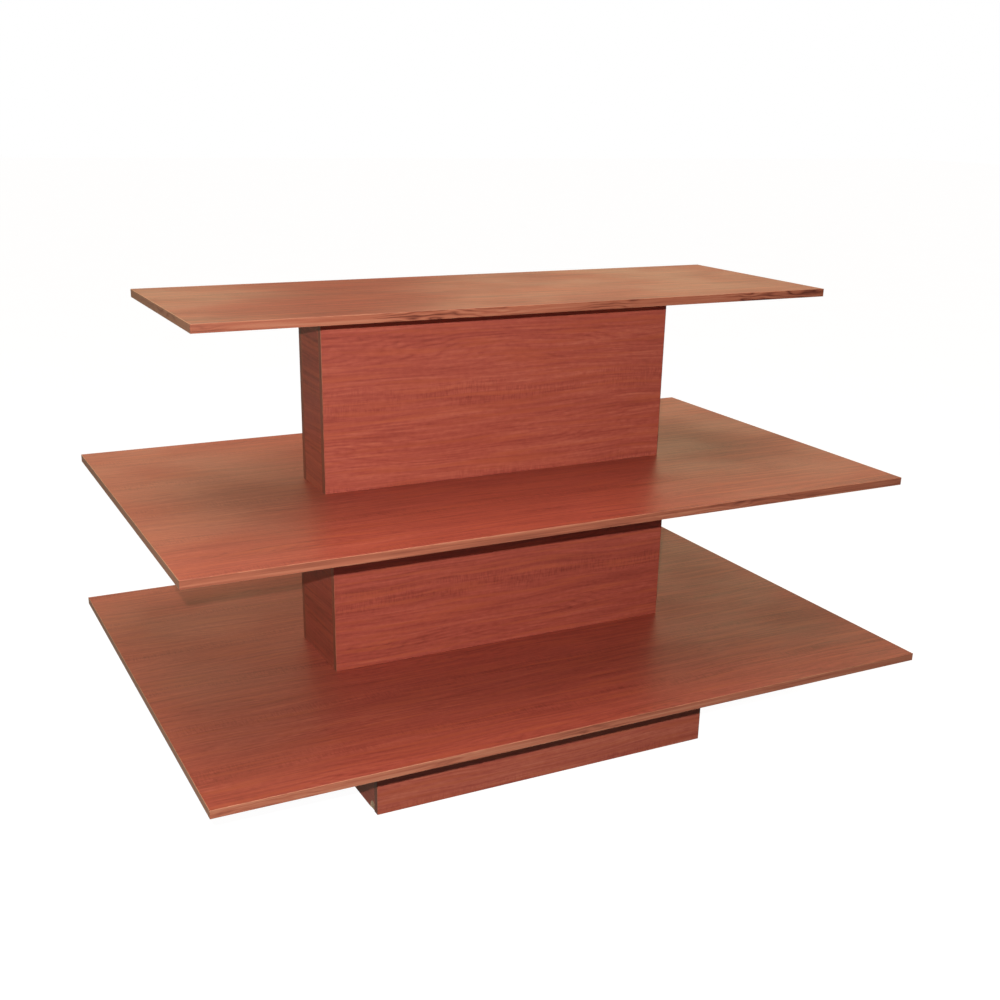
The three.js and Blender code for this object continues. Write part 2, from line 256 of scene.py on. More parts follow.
def specks(add, size, detail=2.0):
    """Even noise on the piece's own coordinates: its marks are about size millimetres."""
    place = add("TexCoord", out="Object")
    return add("TexNoise", {"Vector": place, "Scale": 1 / size / MM, "Detail": detail})


def laid_over(add, tone, *layers):
    """A tone with layers added to it, each times its weight."""
    for layer, weight in layers:
        tone = add("Math", [layer, weight, tone], 'MULTIPLY_ADD')
    return tone


def weighed(add, *layers):
    """Sum of layers that are each centred on a half and given a weight, itself centred on a half."""
    return laid_over(add, 0.5 - sum(weight for layer, weight in layers) / 2, *layers)


# Melamine-faced board printed with cherry and pressed with a satin plate: streaky red-brown along the grain,
# rows of pointed growth rings with rippled figure between them, and a soft sheen that mirrors at a low angle.
HEART_SPACING = 185 * MM
RING_WIDTH = 6 * MM
RING_LENGTH = 55 * MM
RING_TURN = 450 * MM


def satin_cherry_melamine(add, colours):
    place = add("Attribute", out="Vector", attribute_name="sheet")
    along = add("SeparateXYZ", [place], out="X")
    number = add("SeparateXYZ", [place], out="Z")
    bend = add("MapRange", [grain(add, place, 380, 110, 1.0), 0, 1, -16 * MM, 16 * MM])
    across = add("Math", [add("SeparateXYZ", [place], out="Y"), bend], 'ADD')
    flow = add("CombineXYZ", [along, across, number])
    from_heart = add("Math", [across, HEART_SPACING / 2, -HEART_SPACING / 2], 'WRAP')
    off_heart = add("Math", [from_heart], 'ABSOLUTE')
    row = add("Math", [across, HEART_SPACING], 'SNAP')

    # Growth rings, pointed where the saw runs out of them and ragged along their length
    row_place = add("CombineXYZ", [along, add("Math", [row, 20.0], 'MULTIPLY'), number])
    swing = grain(add, row_place, 230, 1000)
    swung = add("Math", [swing, 0.3, add("Math", [row, 2.3, along], 'MULTIPLY_ADD')], 'MULTIPLY_ADD')
    turned_back = add("Math", [swung, RING_TURN], 'PINGPONG')
    ring_place = add("CombineXYZ", [turned_back, from_heart])
    ring_scale = add("Mapping", {"Vector": ring_place, "Scale": (1 / RING_LENGTH, 1 / RING_WIDTH, 1)})
    ring = add("VectorMath", [ring_scale], 'LENGTH', out="Value")
    ragged = add("Math", [grain(add, flow, 120, 7, 2.0), 1.1, ring], 'MULTIPLY_ADD')
    late_wood = add("Math", [add("Math", [ragged, 0.5], 'PINGPONG'), 2.0], 'MULTIPLY')
    late_wood = add("Math", [late_wood, 2.5], 'POWER')
    ring_show = add("MapRange", [grain(add, flow, 220, 34), 0.36, 0.66, 0.15, 1.0], **SMOOTH)
    near_heart = add("MapRange", [off_heart, 15 * MM, 70 * MM, 1.0, 0.3], **SMOOTH)
    rings = add("Math", [late_wood, ring_show], 'MULTIPLY')
    rings = add("Math", [rings, near_heart], 'MULTIPLY')

    # Rippled figure midway between two hearts
    ripple = add("MapRange", [grain(add, place, 3.4, 20, 1.0), 0.42, 0.66], **SMOOTH)
    ripple_row = add("MapRange", [off_heart, 56 * MM, 82 * MM], **SMOOTH)
    ripple_run = add("MapRange", [grain(add, place, 160, 26, 1.0), 0.36, 0.58], **SMOOTH)
    ripples = add("Math", [ripple, ripple_row], 'MULTIPLY')
    ripples = add("Math", [ripples, ripple_run], 'MULTIPLY')

    # Streaks, from single fibres to a board's broad clouds
    fibre = grain(add, flow, 55, 2.0, 3.0, 0.6)
    fleck = grain(add, flow, 13, 8, 1.0)
    thread = grain(add, flow, 160, 5)
    streak = grain(add, flow, 420, 15)
    cloud = grain(add, place, 900, 240, 1.0)
    # The pores are finer than this on a real sheet, too fine to be drawn at their own width.
    pore = grain(add, flow, 11, 0.55, 1.0)
    pits = add("MapRange", [pore, 0.56, 0.7], **SMOOTH)
    tone = weighed(add, (fibre, 0.34), (fleck, 0.2), (thread, 0.5), (streak, 0.4), (cloud, 0.25))
    # Each board's stored tone is partly its print's own and partly painted shade, where less light fell.
    board_tone_and_painted_shade = add("Attribute", out="Fac", attribute_name="tone")
    tone = laid_over(add, tone, (pits, -0.1), (rings, -0.17), (ripples, -0.14), (board_tone_and_painted_shade, 1.0))
    colour = add("ValToRGB", [tone], stops=(
        (0.05, colours.laminate_dark), (0.3, colours.laminate_low), (0.47, colours.laminate_mid),
        (0.63, colours.laminate_high), (0.85, colours.laminate_pale)))
    warm = add("MapRange", [grain(add, flow, 200, 9), 0.46, 0.7, 0.0, 0.55], **SMOOTH)
    colour = add("Mix", {0: warm, 6: colour, 7: (*colours.laminate_warm, 1)}, out=2, data_type='RGBA')

    handled = add("MapRange", [grain(add, place, 260, 180, 3.0), 0.3, 0.7, 0.33, 0.42], **SMOOTH)
    rough = add("Math", [fibre, 0.05, handled], 'MULTIPLY_ADD')
    pressed = add("Bump", {"Height": pits, "Strength": 0.15, "Distance": 0.1 * MM}, invert=True)
    return {"Base Color": colour, "Roughness": rough, "Normal": pressed, "IOR": 1.5}


# Printed plastic edge band, hot-glued and trimmed: tan streaks along its length with dark red-brown figure
# that drifts across it, paler where the trimmed corner is rubbed, and a little glossier than the board.
def printed_edge_band(add, colours):
    place = add("Attribute", out="Vector", attribute_name="sheet")
    print_kind = add("Attribute", out="Vector", attribute_name="print")
    paleness = add("SeparateXYZ", [print_kind], out="X")
    figure = add("SeparateXYZ", [print_kind], out="Y")
    rubbed = add("SeparateXYZ", [print_kind], out="Z")

    across = add("Math", [add("SeparateXYZ", [place], out="Y"), 1 / 9 / MM], 'MULTIPLY')
    drift = add("Math", [grain(add, place, 110, 24), 6.0, across], 'MULTIPLY_ADD')
    lines = add("Math", [add("Math", [drift, 0.5], 'PINGPONG'), 2.0], 'MULTIPLY')
    lines = add("Math", [lines, 2.0], 'POWER')
    lines_show = add("MapRange", [grain(add, place, 260, 60), 0.42, 0.66], **SMOOTH)
    lines = add("Math", [lines, lines_show], 'MULTIPLY')
    lines = add("Math", [lines, figure], 'MULTIPLY')

    fibre = grain(add, place, 120, 2.2, 3.0, 0.6)
    streak = grain(add, place, 400, 7)
    worn = add("MapRange", [grain(add, place, 40, 40), 0.3, 0.6, 0.05, 0.3], **SMOOTH)
    tone = weighed(add, (streak, 0.8), (fibre, 0.5))
    tone = laid_over(add, tone, (paleness, 1.0), (lines, -0.55), (rubbed, worn))
    colour = add("ValToRGB", [tone], stops=(
        (0.05, colours.band_dark), (0.45, colours.band_mid), (0.88, colours.band_pale)))
    rough = add("MapRange", [fibre, 0.3, 0.7, 0.3, 0.4])
    pores = add("Bump", {"Height": fibre, "Strength": 0.1, "Distance": 0.1 * MM})
    return {"Base Color": colour, "Roughness": rough, "Normal": pores, "IOR": 1.5}


# Raw particleboard, sawn or drilled: pressed chips of several tans, matt and rough, with dark gaps between.
def raw_particleboard(add, colours):
    place = add("TexCoord", out="Object")
    chip_size = {"Vector": place, "Scale": 1 / 2.2 / MM}
    shade = add("SeparateColor", [add("TexVoronoi", chip_size, out="Color")])
    tone = weighed(add, (shade, 0.8), (specks(add, 0.9, 3.0), 0.7))
    colour = add("ValToRGB", [tone], stops=((0.1, colours.chip_dark), (0.8, colours.chip_pale)))
    height = add("TexVoronoi", chip_size)
    gaps = add("Bump", {"Height": height, "Strength": 0.6, "Distance": 0.4 * MM})
    return {"Base Color": colour, "Roughness": 0.85, "Normal": gaps}


# Die-cast zinc, tumbled: dull grey metal with a mottled skin.
def die_cast_zinc(add, colours):
    zinc = Vector(colours.zinc)
    skin = specks(add, 1.4, 4.0)
    colour = add("ValToRGB", [skin], stops=((0.3, zinc * 0.62), (0.7, zinc)))
    rough = add("MapRange", [skin, 0.3, 0.7, 0.38, 0.6])
    dimples = add("Bump", {"Height": skin, "Strength": 0.25, "Distance": 0.1 * MM})
    return {"Base Color": colour, "Roughness": rough, "Normal": dimples, "Metallic": 1.0}


# Turned steel with a bright zinc plating: fine rings round the axis and small cloudy patches.
def bright_plated_steel(add, colours):
    steel = Vector(colours.steel)
    place = add("TexCoord", out="Object")
    turned_rings = add("Mapping", {"Vector": place, "Scale": (60, 60, 1 / 0.35 / MM)})
    rings = add("TexNoise", {"Vector": turned_rings, "Scale": 1.0, "Detail": 2.0})
    colour = add("ValToRGB", [specks(add, 3)], stops=((0.3, steel * 0.75), (0.7, steel)))
    rough = add("MapRange", [rings, 0.3, 0.7, 0.2, 0.36])
    return {"Base Color": colour, "Roughness": rough, "Metallic": 1.0}


# Beech dowel rod, milled with flutes: pale pinkish tan with short darker rays along its length, and matt.
def fluted_beech(add, colours):
    place = add("TexCoord", out="Object")
    rays = add("Mapping", {"Vector": place, "Scale": (1 / 0.8 / MM, 1 / 6 / MM, 1 / 0.8 / MM)})
    shade = add("TexNoise", {"Vector": rays, "Scale": 1.0, "Detail": 3.0})
    colour = add("ValToRGB", [shade], stops=((0.32, colours.beech_dark), (0.62, colours.beech_pale)))
    rough = add("MapRange", [shade, 0.3, 0.7, 0.75, 0.6])
    fibres = add("Bump", {"Height": shade, "Strength": 0.2, "Distance": 0.1 * MM})
    return {"Base Color": colour, "Roughness": rough, "Normal": fibres}


# Matt seamless paper under a bright wash of light: almost white to the eye, with only a faint shadow on it.
# The wash stays off the table: the paper lights the boards only as a dim floor would.
PAPER_GLOW = 0.995
PAPER_MIRRORED = 0.2
PAPER_BOUNCE = 0.15


def seamless_paper(add, colours):
    paper = Vector(colours.paper)
    tooth = add("ValToRGB", [specks(add, 330, 3.0)], stops=((0.3, paper * 0.995), (0.7, paper)))
    in_mirror = add("LightPath", out="Is Glossy Ray")
    wash = add("Mix", {0: in_mirror, 6: tooth, 7: (*colours.paper_mirrored, 1)}, out=2, data_type='RGBA')
    mirrored = add("Math", [in_mirror, PAPER_MIRRORED], 'MULTIPLY')
    in_view = add("LightPath", out="Is Camera Ray")
    glow = add("Math", [in_view, PAPER_GLOW, mirrored], 'MULTIPLY_ADD')
    return {
        "Base Color": (*(paper * PAPER_BOUNCE), 1), "Roughness": 0.9, "Specular IOR Level": 0.0,
        "Emission Color": wash, "Emission Strength": glow}


def bare_start(*chosen):
    """Object mode with only the chosen objects selected, so that an operator acts on nothing else."""
    if bpy.context.object and bpy.context.object.mode != 'OBJECT':
        bpy.ops.object.mode_set(mode='OBJECT')
    bpy.ops.object.select_all(action='DESELECT')
    for piece in chosen:
        piece.select_set(True)
        bpy.context.view_layer.objects.active = piece


@contextmanager
def edit_mode(piece, kind='VERT', choice='SELECT'):
    """Edit mode on one piece, with everything or nothing selected at the start."""
    bare_start(piece)
    bpy.ops.object.mode_set(mode='EDIT')
    bpy.ops.mesh.select_mode(type=kind)
    bpy.ops.mesh.select_all(action=choice)
    yield bmesh.from_edit_mesh(piece.data)
    bpy.ops.object.mode_set(mode='OBJECT')


def settle(name):
    """Names the active object and moves its place, turn and scale into its mesh."""
    piece = bpy.context.object
    piece.name = name
    piece.data.name = name
    bpy.ops.object.transform_apply(location=True, rotation=True, scale=True)
    return piece


def remove(*pieces):
    bare_start(*pieces)
    bpy.ops.object.delete()


def block(name, low, high):
    """Cube stretched over a box."""
    bare_start()
    bpy.ops.mesh.primitive_cube_add(size=1, location=(low + high) / 2, scale=high - low)
    return settle(name)


def bevel_edges(piece, wanted, width, segments):
    """Bevels the edges whose middle and direction pass a test."""
    with edit_mode(piece, 'EDGE', 'DESELECT') as shape:
        for edge in shape.edges:
            start, end = (vert.co for vert in edge.verts)
            edge.select = wanted((start + end) / 2, (end - start).normalized())
        bmesh.update_edit_mesh(piece.data)
        bpy.ops.mesh.bevel(offset=width, offset_type='OFFSET', segments=segments, affect='EDGES')


def turned(name, profile, sides=32):
    """Round bar on the Z axis: a disc extruded and sized at each step of its (radius, height) profile."""
    (radius, height), *steps = profile
    bare_start()
    bpy.ops.mesh.primitive_circle_add(
        vertices=sides, radius=radius, fill_type='NGON', location=(0, 0, height))
    piece = settle(name)
    with edit_mode(piece):
        for next_radius, next_height in steps:
            bpy.ops.mesh.extrude_region_move(TRANSFORM_OT_translate={"value": (0, 0, next_height - height)})
            growth = next_radius / radius
            bpy.ops.transform.resize(value=(growth, growth, 1), center_override=(0, 0, next_height))
            radius = next_radius
            height = next_height
        bpy.ops.mesh.select_all(action='SELECT')
        bpy.ops.mesh.normals_make_consistent(inside=False)
    return piece


def lay_along_y(piece):
    """Turns a piece from the Z axis to the Y axis, its upper end towards +Y."""
    bare_start(piece)
    piece.rotation_euler.x = -math.pi / 2
    return settle(piece.name)


def combine(piece, tool, operation='DIFFERENCE', crumpled=False):
    """Takes a tool away from a piece or welds it on, and deletes it. A crumpled tool may cross itself."""
    bare_start(piece)
    change = piece.modifiers.new("change", 'BOOLEAN')
    change.operation = operation
    change.solver = 'EXACT'
    change.use_self = crumpled
    change.material_mode = 'TRANSFER'
    change.object = tool
    bpy.ops.object.modifier_apply(modifier=change.name)
    remove(tool)


def copy_to(model, name, place, turn=0.0):
    """Copy of a model with its own mesh, turned round Z and put in its place."""
    bare_start(model)
    bpy.ops.object.duplicate()
    bpy.context.object.location = place
    bpy.context.object.rotation_euler.z = turn
    return settle(name)


def join(pieces):
    """Makes one object of several, under the name of the last."""
    bare_start(*pieces)
    if len(pieces) > 1:
        bpy.ops.object.join()
    return pieces[-1]


def bore(piece, holes):
    """Drills a board: each hole is a cutter, its place and its turn round Z."""
    combine(piece, join([copy_to(tool, "cutter", place, turn) for tool, place, turn in holes]))


def thread_ridge(core, crest, pitch, low, high, steps=20):
    """Helical ridge from one height to another, its foot sunk in the bar that carries it."""
    sunk = pitch / 8
    # A circle of three points is one and a half times its radius across.
    reach = (crest / 2 - core / 2 + sunk) / 1.5
    bare_start()
    bpy.ops.mesh.primitive_circle_add(
        vertices=3, radius=reach, fill_type='NOTHING', rotation=(math.pi / 2, math.pi / 2, 0),
        location=(crest / 2 - reach, 0, low + pitch / 3))
    bpy.context.object.scale.x = pitch / 3 / reach
    ridge = settle("thread")
    helix = ridge.modifiers.new("helix", 'SCREW')
    helix.axis = 'Z'
    helix.steps = steps
    helix.render_steps = steps
    helix.screw_offset = pitch
    helix.iterations = max(1, int((high - low) / pitch - 2 / 3))
    bpy.ops.object.modifier_apply(modifier=helix.name)
    with edit_mode(ridge, 'EDGE'):
        bpy.ops.mesh.fill_holes(sides=3)
        bpy.ops.mesh.select_all(action='SELECT')
        bpy.ops.mesh.normals_make_consistent(inside=False)
    return ridge


def smooth_rounds(piece):
    bare_start(piece)
    bpy.ops.object.shade_smooth_by_angle(angle=math.radians(35))


def lay_sheet(piece, along, across, heart, number, tone=0.0, painted_falloff=0.0):
    """Stores each point's place on the printed sheet, from a point on a row of hearts, and its tone."""
    places = piece.data.attributes.new("sheet", 'FLOAT_VECTOR', 'POINT')
    for point, vert in zip(places.data, piece.data.vertices):
        way = vert.co - heart
        point.vector = (way.dot(along), way.dot(across), number)
    # Each point's tone is partly the print's own and partly painted shade; the painted fall-off darkens it
    # towards +X.
    tones = piece.data.attributes.new("tone", 'FLOAT', 'POINT')
    for point, vert in zip(tones.data, piece.data.vertices):
        point.value = tone + painted_falloff * vert.co.x


def mark_band(piece, paleness, figure, flat=0.98):
    """Stores a band's print: how pale it is, how strong its figure is, and 1 on its rubbed round corners."""
    prints = piece.data.attributes.new("print", 'FLOAT_VECTOR', 'POINT')
    for point in prints.data:
        point.vector = (paleness, figure, 0)
    for poly in piece.data.polygons:
        if max(abs(side) for side in poly.normal) < flat:
            for vert in poly.vertices:
                prints.data[vert].vector.z = 1


def give(piece, slot, *materials):
    """Body and materials of a piece, in place of any empty slot that a boolean left; slot is not used."""
    piece.data.materials.clear()
    for material in materials:
        piece.data.materials.append(finish(material))
    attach(piece, "root")


def raw_edges(piece, raw_normals):
    """Gives the second material to the faces that a saw cut left bare."""
    for poly in piece.data.polygons:
        if any(poly.normal.dot(normal) > ALIGNED for normal in raw_normals):
            poly.material_index = 1


def board(name, low, high):
    """Printed board with eased edges. Its second material is what a saw, a drill or a knock lays bare."""
    piece = block(name, low, high)
    bevel_edges(piece, lambda place, way: True, bpy.context.scene.table_boards.glue_line, segments=1)
    give(piece, "laminate_board", satin_cherry_melamine, raw_particleboard)
    return piece


def band(name, low, high, out, along, across, number, paleness, figure):
    """Edge band printed along its length, its long corners rounded on the side that faces out."""
    piece = block(name, low, high)
    face = max(low.dot(out), high.dot(out)) - MM / 10
    bevel_edges(
        piece, lambda place, way: place.dot(out) > face and abs(way.dot(along)) > ALIGNED,
        bpy.context.scene.table_boards.arris, segments=4)
    lay_sheet(piece, along, across, across * low.dot(across), number)
    mark_band(piece, paleness, figure)
    give(piece, "edge_band", printed_edge_band)
    return piece


def drive(model, kind, box_at):
    """Copies of a bolt or a screw, each from the underside of the shelf that it goes into or through."""
    for tier, box in box_at.items():
        for side, end in CORNERS:
            node = f"{box}_{kind}_{side}_{end}"
            place = middle(node)
            place.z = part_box(f"{tier}_shelf")[0].z
            piece = copy_to(model, f"{node}_turning", place)
            give(piece, "plated_steel", bright_plated_steel)
            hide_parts(node)
    remove(model)


def middle(node):
    low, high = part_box(node)
    return (low + high) / 2


def cutter(profile):
    """Cutter for a round hole, which leaves raw particleboard behind it."""
    tool = turned("hole", profile)
    tool.data.materials.append(finish(raw_particleboard))
    return tool


# Where two holes of one cutter meet at a joint, their step is kept this far off the joint's plane.
STEP_OFF = 0.05 * MM


def bolt_hole():
    """Way down a panel's edge to its cam, and pilot hole up into the shelf, from the shelf's underside."""
    sizes = bpy.context.scene.table_fittings
    way = sizes.bolt_collar / 2 + sizes.loose_gap
    pilot = sizes.bolt_thread / 2 + sizes.fit_gap
    end = sizes.bolt_bite + sizes.overrun
    return cutter([(way, -sizes.cam_setback), (way, STEP_OFF), (pilot, STEP_OFF), (pilot, end)])


def screw_hole():
    """Countersunk hole up through a shelf, and pilot hole in the panel on it, from the shelf's underside."""
    sizes = bpy.context.scene.table_fittings
    shelf = board_thickness()
    head = sizes.screw_head / 2 + sizes.fit_gap
    shank = sizes.screw_shank / 2 + sizes.fit_gap
    pilot = sizes.screw_thread / 2 + sizes.fit_gap
    end = shelf + sizes.screw_bite + sizes.overrun
    return cutter([
        (head, -sizes.overrun), (head, sizes.screw_sink), (shank, sizes.screw_sink + sizes.screw_cone),
        (shank, shelf - STEP_OFF), (pilot, shelf - STEP_OFF), (pilot, end - sizes.screw_tip),
        (pilot / 2, end)])


def driven_holes(tool, fittings, sides, under):
    """Holes of one cutter for the bolts or screws on some sides of a box, from a shelf's underside."""
    places = [middle(f"{fittings}_{side}_{end}") for side in sides for end in ENDS]
    return [(tool, Vector((place.x, place.y, under)), 0) for place in places]


def cam_bore():
    """Blind bore in a panel's inner face at y = 0, towards -Y."""
    sizes = bpy.context.scene.table_fittings
    return lay_along_y(cutter([(sizes.cam / 2, -sizes.cam_depth), (sizes.cam / 2, sizes.overrun)]))


def dowel_hole():
    """Hole across a corner joint at y = 0, towards -Y in the long panel and towards +Y in the end panel."""
    sizes = bpy.context.scene.table_fittings
    radius = sizes.dowel / 2 + sizes.fit_gap
    return lay_along_y(cutter([
        (radius, -sizes.dowel_reach - sizes.overrun), (radius, sizes.dowel_grip + sizes.overrun)]))


def dowel_heights(box, count=3):
    low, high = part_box(f"{box}_front_panel")
    inset = bpy.context.scene.table_fittings.dowel_inset
    step = (high.z - low.z - 2 * inset) / (count - 1)
    return [low.z + inset + step * number for number in range(count)]


def board_thickness():
    low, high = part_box("middle_shelf")
    return high.z - low.z


def inner_face(box, side):
    low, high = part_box(f"{box}_{side}_panel")
    return high.y if side == "front" else low.y


class TABLE_OT_shelf_boards(bpy.types.Operator):
    """Three shelf boards with eased edges inside their bands, bored for the bolts and screws"""
    bl_idname = "display_table.shelf_boards"
    bl_label = "Shelf Boards"

    # Each shelf's print: place of the hearts from the shelf's middle, sheet number, tone, and painted
    # fall-off: change of tone in a metre towards the right, painted shade where less lamp light fell.
    # The bottom shelf's darker tone is partly painted shade, for the middle shelf's shade over it.
    prints = {
        "top": ((0.0, 0.0, 0.0), 3.1, -0.28, 0.0),
        "middle": ((-0.31, -0.33, 0.0), 4.1, -0.11, -0.12),
        "bottom": ((-0.62, -0.14, 0.0), 5.1, -0.13, -0.14)}

    def execute(self, context):
        for tier, stand in STANDS_ON.items():
            low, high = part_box(f"{tier}_shelf")
            piece = board(f"{tier}_shelf_board", low, high)
            pilot = bolt_hole()
            through = screw_hole()
            holes = driven_holes(pilot, f"{stand}_cam_bolt", FACING, low.z)
            if tier in CARRIES:
                holes += driven_holes(through, f"{CARRIES[tier]}_screw", FACING, low.z)
            bore(piece, holes)
            remove(pilot, through)
            heart, number, tone, painted_falloff = self.prints[tier]
            lay_sheet(piece, X_AXIS, Y_AXIS, Vector(heart), number, tone, painted_falloff)
            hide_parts(f"{tier}_shelf")
        return {'FINISHED'}


class TABLE_OT_shelf_bands(bpy.types.Operator):
    """Edge bands round the three shelves, rounded where a hand meets them"""
    bl_idname = "display_table.shelf_bands"
    bl_label = "Shelf Bands"

    outward = {"front": -Y_AXIS, "right": X_AXIS, "back": Y_AXIS, "left": -X_AXIS}
    # Sheet number, paleness and strength of figure of each shelf's band
    prints = {"top": (11.3, -0.06, 0.9), "middle": (12.3, -0.06, 0.4), "bottom": (13.3, 0.0, 0.4)}
    # From one side's sheet number to the next
    next_sheet = 5
    # The short sides' bands are made paler than the long sides'.
    side_paleness = 0.5

    def execute(self, context):
        for tier in STANDS_ON:
            number, paleness, figure = self.prints[tier]
            for turn, (side, out) in enumerate(self.outward.items()):
                node = f"{tier}_shelf_band_{side}"
                low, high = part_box(node)
                along = Vector((abs(out.y), abs(out.x), 0))
                piece = band(
                    f"{node}_strip", low, high, out, along, Z_AXIS, number + self.next_sheet * turn,
                    paleness + self.side_paleness * abs(out.x), figure)
                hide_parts(node)
        return {'FINISHED'}


class TABLE_OT_long_panels(bpy.types.Operator):
    """Front and back panels of the boxes, bored for the fittings, each with a band on its upright edges"""
    bl_idname = "display_table.long_panels"
    bl_label = "Long Panels"

    # Place of the hearts along the panel and below its upper edge, sheet number and tone of each box's print
    # The lower riser's darker tone is painted shade, for less of the lamp's light reaching it.
    prints = {
        "upper_riser": (-690 * MM, 86 * MM, 5.2, 0.0),
        "lower_riser": (-400 * MM, 115 * MM, 6.9, -0.08),
        "plinth": (-250 * MM, 130 * MM, 8.6, 0.04)}
    strip_number = 23.7
    strip_paleness = -0.24
    strip_figure = 0.3

    def execute(self, context):
        inset = Vector((context.scene.table_boards.strip, 0, 0))
        for box in STANDS_ON.values():
            heart_x, drop, number, tone = self.prints[box]
            for side, turn in FACING.items():
                node = f"{box}_{side}_panel"
                low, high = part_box(node)
                piece = board(f"{node}_board", low + inset, high - inset)
                raw_edges(piece, (Z_AXIS, -Z_AXIS))
                self.drill(piece, box, side)
                lay_sheet(
                    piece, X_AXIS, Z_AXIS, Vector((heart_x, 0, high.z - drop)), number + turn, tone)
                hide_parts(node)
                for end in ENDS:
                    self.strip(node, end)
        return {'FINISHED'}

    def drill(self, piece, box, side):
        sizes = bpy.context.scene.table_fittings
        low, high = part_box(f"{box}_{side}_panel")
        face = inner_face(box, side)
        pilot = bolt_hole()
        through = screw_hole()
        pocket = cam_bore()
        peg = dowel_hole()
        holes = driven_holes(pilot, f"{box}_cam_bolt", (side,), high.z)
        if box in CARRIES.values():
            holes += driven_holes(through, f"{box}_screw", (side,), low.z - board_thickness())
        pockets = []
        for end in ENDS:
            place = Vector((middle(f"{box}_cam_bolt_{side}_{end}").x, face, high.z - sizes.cam_setback))
            pockets.append((pocket, place, FACING[side]))
            for height in dowel_heights(box):
                holes.append((peg, Vector((middle(f"{box}_{end}_end").x, face, height)), FACING[side]))
        bore(piece, holes)
        bore(piece, pockets)
        remove(pilot, through, pocket, peg)

    def strip(self, node, end):
        thickness = bpy.context.scene.table_boards.strip
        low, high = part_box(node)
        if end == "left":
            way = -1
            high.x = low.x + thickness
        else:
            way = 1
            low.x = high.x - thickness
        band(
            f"{node}_strip_{end}", low, high, X_AXIS * way, Z_AXIS, Y_AXIS, self.strip_number + way + low.z,
            self.strip_paleness, self.strip_figure)


class TABLE_OT_end_panels(bpy.types.Operator):
    """End panels between the long panels, dowels glued into their edges, one panel chipped at its foot"""
    bl_idname = "display_table.end_panels"
    bl_label = "End Panels"

    # Sheet number and tone of each box's print
    prints = {"upper_riser": (15.4, -0.1), "lower_riser": (16.7, -0.1), "plinth": (18.0, 0.0)}
    # From one end's sheet number to the next
    next_sheet = 3
    heart = Vector((0, 0, -50 * MM))
    # How far the chip's points are shaken, and its middle's way behind the corner as a share of its width
    chip_crumple = 0.5 * MM
    chip_offset = 0.3

    def execute(self, context):
        dowel = self.dowel_model()
        peg = dowel_hole()
        for box in STANDS_ON.values():
            number, tone = self.prints[box]
            for turn, end in enumerate(ENDS):
                node = f"{box}_{end}_end"
                low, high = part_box(node)
                low.y = inner_face(box, "front")
                high.y = inner_face(box, "back")
                piece = board(f"{node}_board", low, high)
                raw_edges(piece, (Z_AXIS, -Z_AXIS, Y_AXIS, -Y_AXIS))
                if box == "plinth" and end == "left":
                    self.chip(context, piece, low)
                joints = [
                    (Vector(((low.x + high.x) / 2, inner_face(box, side), height)), facing)
                    for side, facing in FACING.items() for height in dowel_heights(box)]
                bore(piece, [(peg, place, facing) for place, facing in joints])
                join([copy_to(dowel, "dowel", place, facing) for place, facing in joints] + [piece])
                lay_sheet(piece, Y_AXIS, Z_AXIS, self.heart, number + self.next_sheet * turn, tone)
                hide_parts(node)
        remove(dowel, peg)
        return {'FINISHED'}

    def dowel_model(self, flute=0.95, sides=32):
        """Fluted dowel across a joint at y = 0, longer towards +Y."""
        sizes = bpy.context.scene.table_fittings
        radius = sizes.dowel / 2
        ease = radius / 4
        dowel = turned("dowel", [
            (radius - ease, -sizes.dowel_reach), (radius, ease - sizes.dowel_reach),
            (radius, sizes.dowel_grip - ease), (radius - ease, sizes.dowel_grip)], sides)
        with edit_mode(dowel, choice='DESELECT') as shape:
            for vert in shape.verts:
                step = math.atan2(vert.co.y, vert.co.x) * sides / (2 * math.pi)
                vert.select = round(step) % 2 == 1
            bmesh.update_edit_mesh(dowel.data)
            bpy.ops.transform.resize(value=(flute, flute, 1), center_override=(0, 0, 0))
        dowel.data.materials.append(finish(fluted_beech))
        return lay_along_y(dowel)

    def chip(self, context, piece, corner):
        """Breaks the printed face away at the foot, just behind the front corner."""
        sizes = context.scene.table_boards
        bare_start()
        bpy.ops.mesh.primitive_ico_sphere_add(
            subdivisions=3, radius=0.5,
            location=(corner.x, corner.y + sizes.chip_width * self.chip_offset, corner.z),
            scale=(2 * sizes.chip_depth, sizes.chip_width, 2 * sizes.chip_height))
        tool = settle("chip")
        with edit_mode(tool):
            bpy.ops.transform.vertex_random(offset=self.chip_crumple, seed=4)
        tool.data.materials.append(finish(raw_particleboard))
        combine(piece, tool, crumpled=True)


